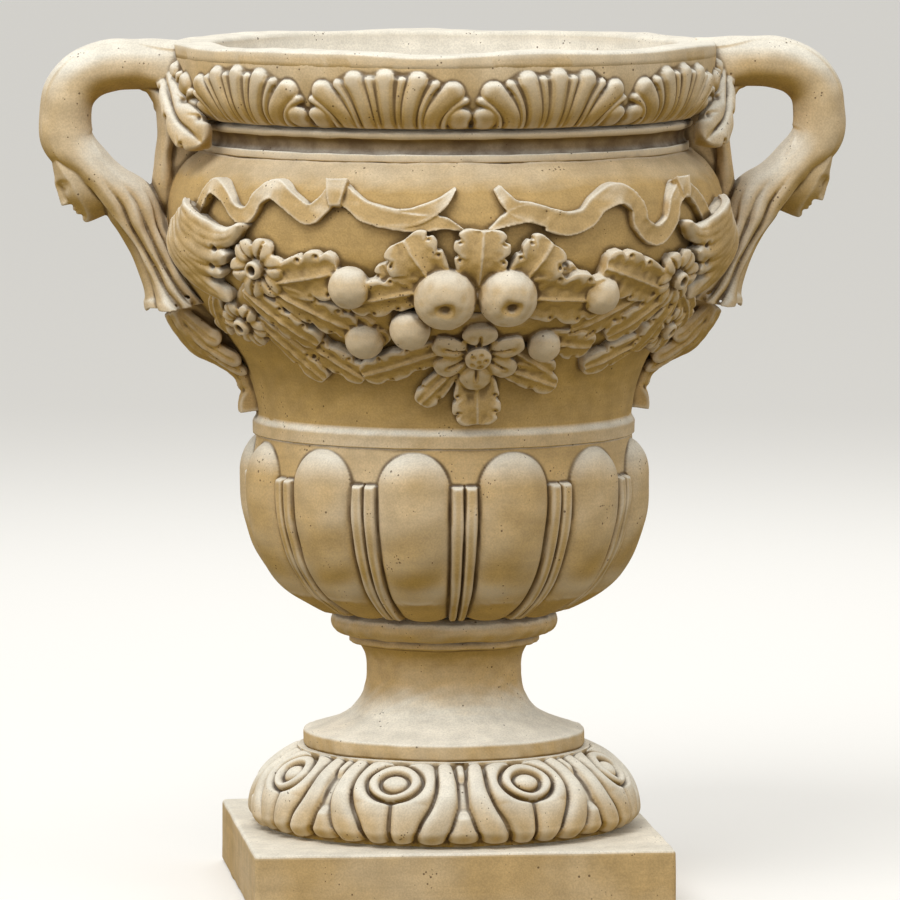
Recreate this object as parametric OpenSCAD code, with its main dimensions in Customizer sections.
// Two-handled footed garden urn in cast stone, on a square plinth.
// Millimetres, +Z up, front towards -Y, handles along X, origin at the centre of the plinth's underside.

/* [Plinth] */
// Width of the square plinth
plinth_w = 430; // [410:1:520]
// Height of the plinth
plinth_h = 66; // [56:1:120]
// Radius of the plinth's upright corners
plinth_corner = 6; // [2:1:20]

/* [Foot] */
// Greatest radius of the leaf-carved foot
foot_r = 204; // [190:1:205]
// Height of the foot
foot_h = 82; // [72:1:110]
// Height of the greatest radius above the foot's underside
foot_girth_h = 17; // [10:1:24]
// Radius from which the foot's quarter round swells
foot_core_r = 120; // [100:1:140]
// Leaf eyes round the foot
eyes = 8; // [6:1:10]
// Depth of the foot's carving
foot_carving = 9; // [3:0.5:12]

/* [Stem] */
// Radius of the stem's flange
flange_r = 146; // [135:1:155]
// Thickness of the flange's edge
flange_h = 14; // [8:1:20]
// Least radius of the stem
neck_r = 80; // [76:1:95]
// Height of the whole stem
stem_h = 140; // [130:1:200]
// Greatest radius of the collar at the top of the stem
collar_r = 117; // [108:1:125]
// Height of the collar's half round
collar_h = 25; // [16:1:32]

/* [Bowl] */
// Radius of the bowl between its lobes, at its widest
bowl_r = 198; // [190:1:210]
// Height of the bowl
bowl_h = 183; // [160:1:220]
// Lobes round the bowl
gadroons = 12; // [8:1:16]
// How far the lobes stand out
gadroon_depth = 15; // [6:0.5:20]
// How far the reeds between the lobes stand out
reed_depth = 7; // [3:0.5:10]

/* [Body] */
// Radius of the body's waist, above the bowl
waist_r = 193; // [188:1:200]
// Greatest radius of the body
belly_r = 287; // [260:1:320]
// How far the shoulder under the rim stays inside the greatest radius
shoulder_inset = 32; // [25:1:37]
// Height of the body
body_h = 289; // [260:1:320]
// Height of the greatest radius above the body's underside
belly_h = 206; // [190:1:220]

/* [Rim] */
// How far the plain lip stays inside the body's greatest radius
lip_inset = 7; // [0:1:15]
// Height of the plain lip
lip_h = 16; // [12:1:30]
// How far the hollow moulding under the frieze stays inside the shoulder
cavetto_inset = 8; // [5:1:13]
// Height of the whole rim
rim_h = 110; // [104:1:140]
// Shell fans round the frieze
fans = 10; // [8:1:12]
// Ribs in each fan
fan_ribs = 7; // [5:1:8]
// Depth of the frieze's carving
frieze_carving = 9; // [3:0.5:12]

/* [Planting cavity] */
// Thickness of the wall at the lip and at the waist
wall = 40; // [32:1:46]
// Thickness of the wall behind the hollow moulding
throat_wall = 47; // [41:1:57]
// Thickness of the bowl's floor
floor_h = 62; // [56:1:80]
// Diameter of the drain through the floor, stem, foot and plinth
drain_d = 30; // [20:1:40]

/* [Handles] */
// How far the handle's centre line reaches past the body's greatest radius
handle_reach = 103; // [90:1:120]
// Half the thickness of the handle's loop, in its own plane
handle_half = 26; // [20:1:30]
// Half the width of the handle's loop, front to back
handle_half_w = 30; // [24:1:36]
// How far the head stands out of the handle
head_out = 13; // [6:1:18]
// Half the width of the leaf strap between handle and body
strap_half_w = 30; // [20:1:38]

/* [Ornament] */
// How far the ribbons stand out of the body
ribbon_h = 9; // [5:0.5:14]
// Width of the ribbons
ribbon_w = 26; // [16:1:32]
// Radius of the two apples
apple_r = 31; // [24:1:34]
// Length of the middle flower's petals
petal_l = 38; // [28:1:42]
// How far the leaves stand out of the body
leaf_lift = 14; // [8:1:18]

/* [Fixings] */
// Thickness of each mortar bed
bed_h = 2; // [1:0.5:4]
// How far each bed stays back from the edge of its joint
bed_inset = 5; // [3:1:10]
// Diameter of the dowels
dowel_d = 12; // [8:1:16]
// Length of the dowels
dowel_l = 72; // [50:1:76]
// Clearance round each dowel
dowel_fit = 0.3; // [0.2:0.05:0.6]
// Gap behind the ornament and handles
seat_gap = 0.4; // [0.3:0.05:0.6]

/* [Hidden] */
$fn = 240;

stone = "#d8c8a0";
mortar = "#b7a583";
steel = "#b8bcc0";

// Heights of the joints, from the ground up
foot_z = plinth_h + bed_h;
foot_top = foot_z + foot_h;
stem_z = foot_top + bed_h;
stem_top = stem_z + stem_h;
bowl_z = stem_top + bed_h;
bowl_top = bowl_z + bowl_h;
body_z = bowl_top + bed_h;
body_top = body_z + body_h;
rim_z = body_top + bed_h;
rim_top = rim_z + rim_h;
belly_z = body_z + belly_h;
lip_z = rim_top - lip_h;

// Radii that follow the body's greatest radius
shoulder_r = belly_r - shoulder_inset;
cavetto_r = shoulder_r - cavetto_inset;
throat_r = cavetto_r - throat_wall;
lip_r = belly_r - lip_inset;

// Smooth curve through stations [height, radius, slope], read at height z
function hermite(st, z, i = 0) =
    i < len(st) - 2 && z > st[i + 1][0] ? hermite(st, z, i + 1) :
    let (a = st[i], b = st[i + 1], h = b[0] - a[0], t = min(max((z - a[0]) / h, 0), 1))
    a[1] * (1 - 3 * t * t + 2 * t * t * t) + b[1] * (3 * t * t - 2 * t * t * t)
    + h * (a[2] * (t - 2 * t * t + t * t * t) + b[2] * (t * t * t - t * t));

// Smooth curve through a list of vectors, read at u from 0 to its last index
function smooth_path(p, u) =
    let (
        n = len(p) - 1,
        i = min(floor(u), n - 1),
        t = u - i,
        b = p[i],
        c = p[i + 1],
        a = i > 0 ? p[i - 1] : 2 * b - c,
        d = i < n - 1 ? p[i + 2] : 2 * c - b
    )
    b + t * (c - a) / 2 + t * t * (2 * a - 5 * b + 4 * c - d) / 2 + t * t * t * (3 * b - a - 3 * c + d) / 2;

function bump(x, half) = abs(x) < half ? cos(90 * x / half) : 0;
function dome(x, half) = abs(x) < half ? sqrt(1 - pow(x / half, 2)) : 0;
function steps(from, to, n) = [for (i = [0:n]) from + (to - from) * i / n];
function around(a, r, z) = [r * sin(a), -r * cos(a), z];

// Closed solid over rings of equal length, with a fan at each end
module skin(rings) {
    n = len(rings[0]);
    last = len(rings) - 1;
    walls = [
        for (i = [0:last - 1], j = [0:n - 1])
            let (k = (j + 1) % n, a = i * n + j, b = i * n + k, c = a + n, d = b + n)
            each [[a, c, b], [b, c, d]]
    ];
    first_end = [for (j = [0:n - 1]) [(last + 1) * n, j, (j + 1) % n]];
    last_end = [for (j = [0:n - 1]) [(last + 1) * n + 1, last * n + (j + 1) % n, last * n + j]];
    middle = function(ring) [for (axis = [0:2]) [for (p = ring) p[axis]] * [for (p = ring) 1 / n]];
    points = [for (ring = rings) each ring];
    polyhedron(
        concat(points, [middle(rings[0]), middle(rings[last])]),
        concat(walls, first_end, last_end)
    );
}

// Outer curve of the plain body
body_stations = [
    [body_z, waist_r, 0],
    [body_z + belly_h * 0.53, waist_r + (belly_r - waist_r) * 0.44, 0.9],
    [belly_z, belly_r, 0],
    [body_top, shoulder_r, -1.4]
];
body_rows = 20;
// Gap behind ornament whose back is in flat facets, so that none of them dips into the round body
flat_back_gap = seat_gap + 0.5;
function body_r(z) = hermite(body_stations, z);
function body_tilt(z) = atan((body_r(z + 1) - body_r(z - 1)) / 2);

// Plain solid of the body's outer curve, grown by the seat gap, that ornament is cut back by
module body_blank() {
    outline = [for (z = steps(body_z, body_top, body_rows)) [body_r(z) + seat_gap, z]];
    rotate_extrude() polygon(concat([[0, body_z]], outline, [[0, body_top]]));
}

// Plain solid of the rim, grown by the seat gap
module rim_blank() {
    frieze = [
        for (z = steps(frieze_z, lip_z, 8))
            [max(frieze_r(z) + frieze_carving, frieze_edge_r) + seat_gap, z]
    ];
    rotate_extrude() polygon(concat(
        [[0, body_top - 1], [shoulder_r + seat_gap, body_top - 1], [shoulder_r + seat_gap, moulding_z]],
        frieze,
        [[lip_r + seat_gap, lip_z], [lip_r + seat_gap, rim_top + 1], [0, rim_top + 1]]
    ));
}

// Mortar bed: a flat ring
module bed(r, bore, z) {
    color(mortar) translate([0, 0, z]) difference() {
        cylinder(r = r - bed_inset, h = bed_h);
        translate([0, 0, -1]) cylinder(r = bore, h = bed_h + 2);
        children();
    }
}

// A ring of upright dowels across the joint at height z
dowel_reach = (dowel_l - bed_h) / 2;
module dowel_ring(count, ring, z) {
    color(steel) for (i = [0:count - 1]) rotate(45 + 360 * i / count)
        translate([ring, 0, z - dowel_reach]) cylinder(d = dowel_d, h = dowel_l, $fn = 32);
}

// The bores for a ring of dowels
module dowel_bores(count, ring, z) {
    for (i = [0:count - 1]) rotate(45 + 360 * i / count)
        translate([ring, 0, z - dowel_reach - dowel_fit])
            cylinder(d = dowel_d + 2 * dowel_fit, h = dowel_l + 2 * dowel_fit, $fn = 32);
}

module drain() {
    translate([0, 0, -1]) cylinder(d = drain_d, h = bowl_z + floor_h + 2);
}

// Counts and ring radii of the dowels
foot_dowel_ring = 130;
core_dowel_ring = 58;
ring_dowels = 4;
core_dowels = 3;
rim_dowel_count = 6;
waist_cavity_r = waist_r - wall;
body_dowel_ring = (waist_r + waist_cavity_r) / 2;
rim_dowel_ring = (throat_r + cavetto_r) / 2;
// Stone left over the end of a rim dowel
dowel_cover = 9;

// Plinth

module plinth() {
    half = plinth_w / 2 - plinth_corner;
    color(stone) difference() {
        linear_extrude(plinth_h) {
            square([plinth_w, 2 * half], center = true);
            square([2 * half, plinth_w], center = true);
            for (x = [-half, half], y = [-half, half]) translate([x, y]) circle(plinth_corner);
        }
        drain();
        dowel_bores(ring_dowels, foot_dowel_ring, plinth_h);
    }
}

module plinth_bed() {
    bed(foot_base_r, drain_d / 2, plinth_h)
        translate([0, 0, -plinth_h]) dowel_bores(ring_dowels, foot_dowel_ring, plinth_h);
}

module foot_dowels() {
    dowel_ring(ring_dowels, foot_dowel_ring, plinth_h);
}

// Foot: a quarter round with ring-shaped eyes and tongues between them

foot_rise = foot_h - foot_girth_h;
foot_drop = foot_girth_h * 1.8;
function foot_plain_r(z) =
    let (y = z - foot_z - foot_girth_h, b = y > 0 ? foot_rise * 1.08 : foot_drop)
    foot_core_r + (foot_r - foot_core_r) * sqrt(1 - pow(y / b, 2));
foot_base_r = foot_plain_r(foot_z);
foot_top_r = foot_plain_r(foot_top);
eye_level = 0.75;
eye_half_a = 9;
eye_half_t = 0.22;
tongue_count = 7;

// Carved height, 0 to 1, at angle a from an eye and level t from 0 to 1
function foot_relief(a, t) =
    let (
        span = 360 / eyes,
        eye = norm([a / eye_half_a, (t - eye_level) / eye_half_t]),
        ring = eye < 0.4 ? 0.8 : eye < 0.62 ? 0.2 : eye < 1 ? 1 : 0,
        tongue = abs(sin(180 * (a + 4 * sin(180 * t)) * tongue_count / span)) * sin(180 * min(1, t * 1.15))
    )
    eye < 1.15 ? ring : tongue;

module foot() {
    columns = 15;
    span = 360 / eyes;
    levels = [0, 0.1, 0.24, 0.4, 0.54, 0.68, 0.8, 0.9, 1];
    rings = [
        for (t = levels)
            let (z = foot_z + foot_h * t)
            [
                for (e = [0:eyes - 1], c = [0:columns - 1])
                    let (a = span * (c / columns - 0.5), edge = t == 0 || t == 1)
                    around(
                        span * (e + 0.5) + a,
                        foot_plain_r(z) - (edge ? 0 : foot_carving * (1 - foot_relief(a, t))),
                        z
                    )
            ]
    ];
    color(stone) difference() {
        skin(rings);
        drain();
        dowel_bores(ring_dowels, foot_dowel_ring, plinth_h);
        dowel_bores(core_dowels, core_dowel_ring, foot_top);
    }
}

module foot_bed() {
    bed(min(flange_r, foot_top_r), drain_d / 2, foot_top)
        translate([0, 0, -foot_top]) dowel_bores(core_dowels, core_dowel_ring, foot_top);
}

module stem_dowels() {
    dowel_ring(core_dowels, core_dowel_ring, foot_top);
}

// Stem: flange, trumpet and half-round collar

collar_z = stem_top - collar_h;
fillet_h = 10;
fillet_r = (neck_r + collar_r) / 2;
flange_round = 3;
sweep_h = 20;
stem_stations = [
    [stem_z + flange_h, flange_r - flange_round, -3.4],
    [stem_z + flange_h + sweep_h, neck_r * 1.2, -1],
    [stem_z + stem_h * 0.54, neck_r, 0],
    [collar_z - fillet_h, neck_r * 1.11, 0.9]
];

module stem() {
    trumpet = [for (z = steps(stem_z + flange_h, collar_z - fillet_h, 18)) [hermite(stem_stations, z), z]];
    collar = [
        for (a = steps(-90, 90, 10))
            [collar_r - collar_h / 2 + collar_h / 2 * cos(a), collar_z + collar_h / 2 + collar_h / 2 * sin(a)]
    ];
    outline = concat(
        [[0, stem_z], [flange_r, stem_z], [flange_r, stem_z + flange_h - flange_round]],
        trumpet,
        [[fillet_r, collar_z - fillet_h], [fillet_r, collar_z]],
        collar,
        [[0, stem_top]]
    );
    color(stone) difference() {
        rotate_extrude() polygon(outline);
        drain();
        dowel_bores(core_dowels, core_dowel_ring, foot_top);
        dowel_bores(core_dowels, core_dowel_ring, stem_top);
    }
}

module stem_bed() {
    bed(collar_r - collar_h / 2, drain_d / 2, stem_top)
        translate([0, 0, -stem_top]) dowel_bores(core_dowels, core_dowel_ring, stem_top);
}

module bowl_dowels() {
    dowel_ring(core_dowels, core_dowel_ring, stem_top);
}

// Bowl: lobes with round tops, and a pair of reeds in each space between them

bowl_stations = [
    [bowl_z, collar_r * 0.99, 1.9],
    [bowl_z + bowl_h * 0.26, bowl_r * 0.88, 0.62],
    [bowl_z + bowl_h * 0.72, bowl_r, 0],
    [bowl_top, bowl_r * 0.99, 0]
];
lobe_top = bowl_z + bowl_h * 0.965;
lobe_round = bowl_h * 0.2;
reed_top = bowl_z + bowl_h * 0.785;
gadroon_span = 360 / gadroons;
lobe_half = gadroon_span * 0.4;
reed_at = gadroon_span * 0.45;

// Carved height at angle a from a lobe's middle and height z
function bowl_relief(a, z) =
    let (
        close = z > lobe_top - lobe_round ? dome(z - lobe_top + lobe_round, lobe_round) : 1,
        low = min(1, (z - bowl_z) / (bowl_h * 0.1)),
        lobe = gadroon_depth * dome(a, lobe_half * close) * (0.4 + 0.6 * low),
        reed = z < reed_top ? reed_depth * dome(abs(a) - reed_at, gadroon_span * 0.04) * low : 0
    )
    max(lobe, reed);

module bowl() {
    columns = [-0.5, -0.45, -0.4, -0.3, -0.17, 0, 0.17, 0.3, 0.4, 0.45];
    levels = [0, 0.04, 0.12, 0.24, 0.38, 0.55, 0.72, 0.79, 0.86, 0.92, 0.968, 1];
    rings = [
        for (t = levels)
            let (z = bowl_z + bowl_h * t)
            [
                for (g = [0:gadroons - 1], c = columns)
                    let (a = gadroon_span * c, carved = t == 0 || t == 1 ? 0 : bowl_relief(a, z))
                    around(gadroon_span * (g + 0.5) + a, hermite(bowl_stations, z) + carved, z)
            ]
    ];
    color(stone) difference() {
        skin(rings);
        bowl_cavity();
        drain();
        dowel_bores(core_dowels, core_dowel_ring, stem_top);
        dowel_bores(ring_dowels, body_dowel_ring, bowl_top);
    }
}

// Inside of the bowl: a dished floor with straight sides
module bowl_cavity() {
    rise = bowl_h - floor_h;
    dish = [
        for (a = steps(-90, 0, 8))
            [waist_cavity_r * cos(a), bowl_z + floor_h + rise * 0.75 * (1 + sin(a))]
    ];
    rotate_extrude() polygon(concat([[0, bowl_top + 1]], dish, [[waist_cavity_r, bowl_top + 1]]));
}

module bowl_bed() {
    bed(waist_r, waist_cavity_r, bowl_top)
        translate([0, 0, -bowl_top]) dowel_bores(ring_dowels, body_dowel_ring, bowl_top);
}

module body_dowels() {
    dowel_ring(ring_dowels, body_dowel_ring, bowl_top);
}

// Body: plain bell with a tapered planting cavity

module body() {
    outer = [for (z = steps(body_z, body_top, body_rows)) [body_r(z), z]];
    color(stone) difference() {
        rotate_extrude() polygon(concat([[waist_cavity_r, body_z]], outer, [[throat_r, body_top]]));
        dowel_bores(ring_dowels, body_dowel_ring, bowl_top);
        dowel_bores(rim_dowel_count, rim_dowel_ring, body_top);
        handle_bores();
    }
}

module body_bed() {
    bed(cavetto_r, throat_r, body_top)
        translate([0, 0, -body_top]) dowel_bores(rim_dowel_count, rim_dowel_ring, body_top);
}

module rim_dowels() {
    dowel_ring(rim_dowel_count, rim_dowel_ring, body_top);
}

// Rim: fillet, hollow, fillet, shell-fan frieze and plain lip

rim_fillet_h = 7;
hollow_h = 15;
hollow_depth = 4;
fillet_edge_r = cavetto_r + 5;
moulding_z = rim_z + rim_fillet_h + hollow_h;
moulding_h = 10;
moulding_round = 3;
frieze_z = moulding_z + moulding_h;
frieze_edge_r = cavetto_r + 2 * hollow_depth;
lip_round = 4;
// How far the rim's mouldings reach in past the throat before the cavity is cut
rim_core = 20;
frieze_mid_z = (frieze_z + lip_z) / 2;
frieze_stations = [
    [frieze_z - 1, cavetto_r, 2.4],
    [frieze_mid_z, lip_r - lip_round / 2, 0.1],
    [lip_z + 1, lip_r - frieze_carving - lip_round, -0.6]
];
function frieze_r(z) = hermite(frieze_stations, z);
fan_span = 360 / fans;

// Carved height, 0 to 1, across a fan: fat ribs that lean outwards, with a pit between fans
function fan_relief(c) = let (pit = abs(c) > 0.47 ? -0.6 : 0) pit + abs(sin(180 * fan_ribs * (c + 0.5)));

module rim() {
    core_r = throat_r - rim_core;
    columns = steps(-0.5, 0.5, 2 * fan_ribs);
    levels = [0, 0.12, 0.3, 0.5, 0.7, 0.88, 1];
    rings = [
        for (t = levels)
            let (z = frieze_z - 1 + (lip_z - frieze_z + 2) * t, spread = 0.86 + 0.14 * t)
            [
                for (f = [0:fans - 1], k = [0:2 * fan_ribs - 1])
                    let (
                        c = columns[k],
                        lean = k == 0 ? 1 : spread,
                        carved = frieze_carving * fan_relief(c) * sin(180 * min(max(t, 0.04), 0.96))
                    )
                    around(fan_span * (f + 0.5 + c * lean), frieze_r(z) + carved, z)
            ]
    ];
    hollow = [
        for (a = steps(180, 0, 6))
            [cavetto_r + hollow_depth * (1 - sin(a)), rim_z + rim_fillet_h + hollow_h * (1 + cos(a)) / 2]
    ];
    ring = [
        for (a = steps(-90, 90, 6))
            [frieze_edge_r - moulding_round * (1 - cos(a)), moulding_z + moulding_h * (1 + sin(a)) / 2]
    ];
    color(stone) difference() {
        union() {
            skin(rings);
            rotate_extrude() polygon(concat(
                [[core_r, rim_z], [fillet_edge_r, rim_z], [fillet_edge_r, rim_z + rim_fillet_h]],
                hollow,
                ring,
                [[core_r, frieze_z]]
            ));
            rotate_extrude() polygon([
                [core_r, lip_z], [lip_r - lip_round / 2, lip_z], [lip_r, lip_z + lip_round / 2],
                [lip_r, rim_top - lip_round], [lip_r - lip_round, rim_top], [core_r, rim_top]
            ]);
        }
        rim_cavity();
        dowel_bores(rim_dowel_count, rim_dowel_ring, body_top);
        handle_bores();
    }
}

// Inside of the rim: straight at the lip, drawn in to the throat
module rim_cavity() {
    rotate_extrude() polygon([
        [0, rim_z - 1], [throat_r, rim_z - 1], [throat_r, rim_z + dowel_reach + dowel_cover],
        [lip_r - wall, lip_z - lip_round], [lip_r - wall, rim_top + 1], [0, rim_top + 1]
    ]);
}

// Handles: a loop from the rim to the body, with a head on its outer side and a pleated skirt below

loop_z = lip_z - lip_h / 2;
loop_rise = loop_z - belly_z;
// How far the loop's end is let into the lip before the rim is cut away
loop_sunk = 18;
// Middle line below the rim as [share of the reach, share of the rise, times the thickness, times the width]
loop_shape = [
    [0.27, 1.005, 1, 1], [0.54, 1, 1, 1], [0.79, 0.95, 1, 1], [0.95, 0.845, 1, 1], [1, 0.7, 1, 1],
    [0.97, 0.535, 1.08, 1.03], [0.84, 0.39, 1.15, 1.13], [0.66, 0.25, 1.23, 1.27], [0.46, 0.13, 1.31, 1.43],
    [0.25, 0, 1.35, 1.57], [0.04, -0.19, 1.23, 1.67], [-0.13, -0.42, 1.19, 1.73]
];
strap_shape = [
    [0.01, 0.94, 0.77, 0.87], [-0.06, 0.735, 0.73, 1], [-0.135, 0.55, 0.85, 1], [-0.06, 0.36, 0.73, 0.83],
    [0.1, 0.145, 0.62, 0.93]
];
function handle_stations(shape, half_w) = [
    for (s = shape)
        [belly_r + handle_reach * s[0], belly_z + loop_rise * s[1], handle_half * s[2], half_w * s[3]]
];
loop_stations = concat(
    [[lip_r - loop_sunk, loop_z, handle_half, handle_half_w]],
    handle_stations(loop_shape, handle_half_w)
);
strap_stations = handle_stations(strap_shape, strap_half_w);
head_station = 7.2;
head_reach = 1.3;
pleats = 5;
pleat_depth = 3;
pleat_start = 8.5;

// Rings of an oval tube along stations [x, z, half thickness, half width]
function tube_rings(st, count, sides, shape) = [
    for (u = steps(0, len(st) - 1, count))
        let (
            here = smooth_path(st, u),
            ahead = smooth_path(st, min(u + 0.05, len(st) - 1)) - smooth_path(st, max(u - 0.05, 0)),
            way = [ahead[0], ahead[1]] / norm([ahead[0], ahead[1]])
        )
        [
            for (s = [0:sides - 1])
                let (a = 360 * s / sides, grow = shape(u, a), out = (here[2] + grow) * cos(a))
                [here[0] - way[1] * out, -(here[3] + grow * abs(sin(a))) * sin(a), here[1] + way[0] * out]
        ]
];

// How far the head and the pleats stand out of the plain tube at station u and angle a
function handle_form(u, a) =
    let (
        side = a > 180 ? a - 360 : a,
        head = head_out * bump(u - head_station, head_reach) * bump(side, 80),
        skirt = min(max((u - pleat_start) / 2, 0), 1)
    )
    head + skirt * pleat_depth * cos(pleats * 2 * side);

// Upper and lower dowels of the right handle, along X
upper_dowel_x = lip_r - dowel_l * 0.4;
lower_dowel_x = belly_r - dowel_l * 0.6;
lower_dowel_z = belly_z - belly_h * 0.05;
module handle_dowel_pair(grow) {
    for (at = [[upper_dowel_x, loop_z], [lower_dowel_x, lower_dowel_z]])
        translate([at[0] - grow, 0, at[1]]) rotate([0, 90, 0])
            cylinder(d = dowel_d + 2 * grow, h = dowel_l + 2 * grow, $fn = 32);
}

module handle_bores() {
    handle_dowel_pair(dowel_fit);
    mirror([1, 0, 0]) handle_dowel_pair(dowel_fit);
}

module handle_dowels() {
    color(steel) {
        handle_dowel_pair(0);
        mirror([1, 0, 0]) handle_dowel_pair(0);
    }
}

module handle() {
    plain = function(u, a) 0;
    form = function(u, a) handle_form(u, a);
    difference() {
        union() {
            skin(tube_rings(loop_stations, 22, 16, form));
            skin(tube_rings(strap_stations, 8, 10, plain));
        }
        body_blank();
        rim_blank();
        handle_dowel_pair(dowel_fit);
    }
}

module handle_right() {
    color(stone) handle();
}

module handle_left() {
    color(stone) mirror([1, 0, 0]) handle();
}

// Console: a leaf bracket that hugs the body under the handle's skirt

console_top = belly_z - belly_h * 0.447;
console_drop = belly_h * 0.456;
// How far the leaf stands out of the body, as [share of its drop, distance as a share of the drop]
console_stand = [
    [0, 0.38], [0.13, 0.47], [0.27, 0.48], [0.4, 0.38], [0.52, 0.23], [0.66, 0.13], [0.8, 0.13], [0.93, 0.18],
    [1, 0.13]
];
console_half_w = 38;
console_carving = 2;
console_sunk = 8;

module console() {
    lobes = 5;
    rings = [
        for (s = console_stand)
            let (
                z = console_top - console_drop * s[0],
                r = body_r(z),
                half_a = console_half_w * (1 - 0.45 * s[0]) / r * 180 / PI
            )
            concat(
                [
                    for (v = steps(-1, 1, 8))
                        let (
                            plain = console_drop * s[1] * sqrt(1.08 - v * v),
                            stand = plain + console_carving * cos(180 * lobes * v)
                        )
                        around(90 + v * half_a, r + stand, z)
                ],
                [for (v = [0.8, 0, -0.8]) around(90 + v * half_a, r - console_sunk, z)]
            )
    ];
    difference() {
        skin([for (i = [len(rings) - 1:-1:0]) rings[i]]);
        body_blank();
    }
}

module console_right() {
    color(stone) console();
}

module console_left() {
    color(stone) mirror([1, 0, 0]) console();
}

// Leaf along local x, across y, standing out along z, with a sunk midrib and a pointed tip
module leaf(length, width, lift) {
    stations = [[0, 0.3], [0.3, 0.9], [0.6, 1], [0.85, 0.6], [1, 0.08]];
    skin([
        for (s = stations)
            let (half = width / 2 * s[1], top = lift * (0.75 + 0.35 * sin(150 * s[0])))
            [
                [s[0] * length, 0, -lift],
                [s[0] * length, half, -lift * 0.3],
                [s[0] * length, half * 0.95, top * 0.8],
                [s[0] * length, 0, top * 0.72],
                [s[0] * length, -half * 0.95, top * 0.8],
                [s[0] * length, -half, -lift * 0.3]
            ]
    ]);
}

// Puts its children on the body's face: x along the girth, y up the face, z outwards
module on_body(a, z) {
    rotate(a) translate([0, -body_r(z), z]) rotate([90 + body_tilt(z), 0, 0]) children();
}

// Acanthus: three fingers that spread from the handle's skirt over the body
acanthus_root_a = 77;
acanthus_root_z = belly_z - belly_h * 0.02;
// Fingers as [direction, length, width], the lengths and widths as shares of belly_h
acanthus_fingers = [[155, 0.563, 0.243], [188, 0.466, 0.194], [226, 0.447, 0.175]];

module acanthus() {
    difference() {
        union() for (f = acanthus_fingers)
            on_body(acanthus_root_a, acanthus_root_z)
                rotate(f[0]) leaf(f[1] * belly_h, f[2] * belly_h, leaf_lift);
        body_blank();
    }
}

module acanthus_front_right() {
    color(stone) acanthus();
}

module acanthus_front_left() {
    color(stone) mirror([1, 0, 0]) acanthus();
}

module acanthus_back_right() {
    color(stone) mirror([0, 1, 0]) acanthus();
}

module acanthus_back_left() {
    color(stone) rotate(180) acanthus();
}

// Garland: a swag of fruit, flowers and leaves, placed by angle from the front and height from the belly,
// with the heights as shares of belly_h

// Upper and lower edges of the swag as [angle, lower, upper]
swag_edges = [
    [-53, -0.36, -0.05], [-46, -0.51, 0.01], [-38, -0.56, -0.06], [-29, -0.6, -0.1], [-20, -0.61, -0.07],
    [-13, -0.64, 0.06], [-6, -0.73, 0.09], [0, -0.845, 0.1], [6, -0.74, 0.09], [13, -0.65, 0.07],
    [20, -0.62, -0.05], [29, -0.6, -0.1], [38, -0.56, -0.07], [46, -0.52, -0.01], [53, -0.37, -0.07]
];
apples = [[-6, -0.257], [6, -0.252]];
apple_lift = 4;
// Berries as [angle, height, radius as a share of apple_r]
berries = [[-24, -0.2, 0.65], [-20, -0.45, 0.58], [-12, -0.4, 0.65], [12, -0.465, 0.55], [24, -0.22, 0.61]];
berry_lift = 6;
// Flowers as [angle, height, share of petal_l]
flowers = [[0, -0.555, 1], [-46, -0.155, 0.71], [46, -0.185, 0.71], [-44, -0.41, 0.55], [44, -0.43, 0.55]];
petals = 6;

// Height of a ball's cap above the face, at distance d from its middle
function ball(d, r, sunk) = d < r ? sqrt(r * r - d * d) - sunk : 0;

// Height of a six-petalled flower at offset p from its middle
function flower_height(p, reach) =
    let (d = norm(p), edge = reach * (0.72 + 0.28 * abs(cos(petals / 2 * atan2(p[0], p[1])))))
    d > edge ? 0 : leaf_lift * 1.3 + (d < reach * 0.3 ? reach * 0.16 : 0);

// Height of the garland above the body at angle a and height h from the belly
function garland_height(a, h, v) =
    let (
        girth = body_r(belly_z + h) * PI / 180,
        away = function(f) [(a - f[0]) * girth, h - f[1] * belly_h],
        ripple = abs(sin(9 * a + 206 * h / belly_h)),
        leaves = leaf_lift * (0.62 + 0.3 * ripple) * (0.35 + 0.65 * dome(v, 1.04)),
        fruit = max([for (f = apples) ball(norm(away(f)), apple_r, -apple_lift)]),
        small = max([for (f = berries) ball(norm(away(f)), f[2] * apple_r, -berry_lift)]),
        bloom = max([for (f = flowers) flower_height(away(f), f[2] * petal_l)])
    )
    max(leaves, fruit, small, bloom);

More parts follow.
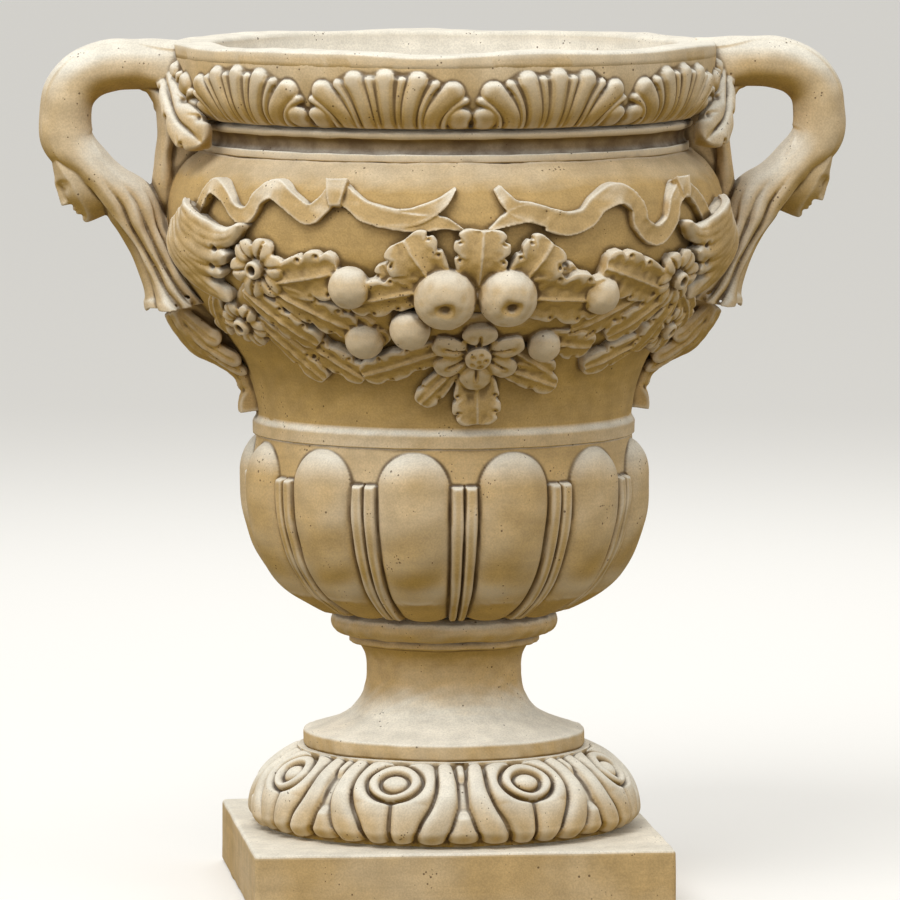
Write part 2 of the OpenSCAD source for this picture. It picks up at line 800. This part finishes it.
module garland() {
    across = steps(-1, 1, 11);
    rings = [
        for (u = steps(0, len(swag_edges) - 1, 38))
            let (
                edge = smooth_path(swag_edges, u),
                level = function(v) belly_h * ((edge[1] + edge[2]) / 2 + v * (edge[2] - edge[1]) / 2),
                face = function(v, out) around(edge[0], body_r(belly_z + level(v)) + out, belly_z + level(v))
            )
            concat(
                [for (v = across) face(v, garland_height(edge[0], level(v), v))],
                [for (k = [len(across) - 1:-1:0]) face(across[k], flat_back_gap)]
            )
    ];
    skin(rings);
}

module garland_front() {
    color(stone) garland();
}

module garland_back() {
    color(stone) rotate(180) garland();
}

// Ribbons: a waving strip over the garland, from the acanthus to a tapered end near the middle

// Middle of the strip as [angle, height from the belly as a share of belly_h]
ribbon_stations = [
    [5, 0.204], [12, 0.165], [20, 0.136], [27, 0.175], [33, 0.272], [38, 0.214], [43, 0.126], [48, 0.194]
];

module ribbon() {
    across = [-1, 0, 1];
    rings = [
        for (u = steps(0, len(ribbon_stations) - 1, 24))
            let (
                here = smooth_path(ribbon_stations, u),
                half = ribbon_w / 2 * (0.55 + 0.45 * min(1, u)),
                face = function(v, out)
                    let (z = belly_z + here[1] * belly_h + v * half) around(here[0], body_r(z) + out, z)
            )
            concat(
                [for (v = across) face(v, ribbon_h * (1 - 0.2 * abs(v)))],
                [for (v = [1, 0, -1]) face(v, flat_back_gap)]
            )
    ];
    skin(rings);
}

module ribbon_front_right() {
    color(stone) ribbon();
}

module ribbon_front_left() {
    color(stone) mirror([1, 0, 0]) ribbon();
}

module ribbon_back_right() {
    color(stone) mirror([0, 1, 0]) ribbon();
}

module ribbon_back_left() {
    color(stone) rotate(180) ribbon();
}

plinth();
plinth_bed();
foot();
foot_bed();
stem();
stem_bed();
bowl();
bowl_bed();
body();
body_bed();
rim();
handle_left();
handle_right();
console_left();
console_right();
acanthus_front_left();
acanthus_front_right();
acanthus_back_left();
acanthus_back_right();
garland_front();
garland_back();
ribbon_front_left();
ribbon_front_right();
ribbon_back_left();
ribbon_back_right();
foot_dowels();
stem_dowels();
bowl_dowels();
body_dowels();
rim_dowels();
handle_dowels();
